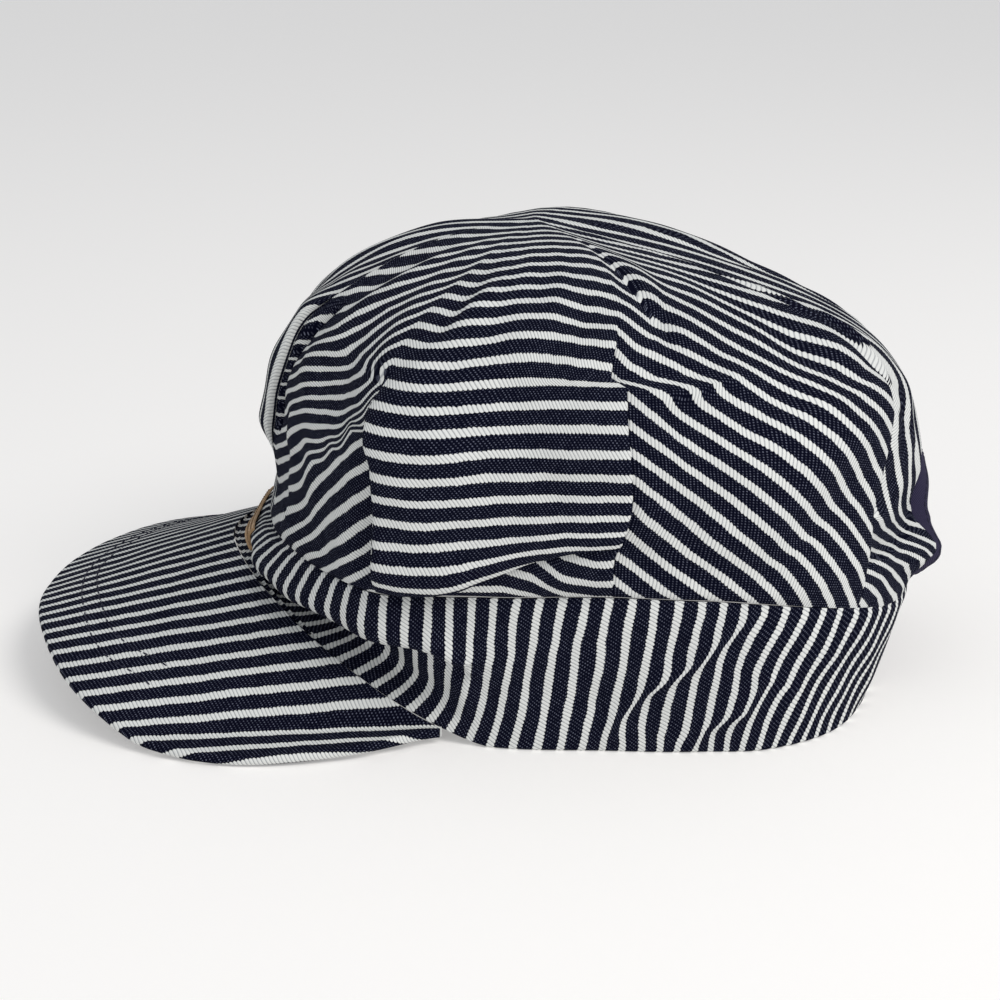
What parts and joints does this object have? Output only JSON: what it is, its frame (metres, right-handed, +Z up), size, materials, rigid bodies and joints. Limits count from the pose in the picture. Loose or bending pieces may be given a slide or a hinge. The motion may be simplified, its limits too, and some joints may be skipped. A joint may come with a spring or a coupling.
{
  "type": "engineer cap",
  "caption": "Soft striped work cap with a pleated, slumped crown, a wrinkled band, a stiff cloth-covered peak and an arched back opening with a plain strap.",
  "frame": {"origin": "centre of the cap's footprint box, on the surface that it rests on", "axes": "+Z up, -Y towards the peak's tip (the front), +X the wearer's left"},
  "size_m": [0.193, 0.2752, 0.1305],
  "materials": {
    "striped_cloth": "navy and off-white striped cotton twill",
    "navy_cloth": "plain navy twill tape",
    "tan_patch": "bare tan patch, edge stitched"
  },
  "bodies": {
    "root": {"crown": "striped_cloth", "band": "striped_cloth", "peak": "striped_cloth", "back_facing": "navy_cloth", "back_strap": "navy_cloth", "front_patch": "tan_patch"}
  },
  "joints": []
}
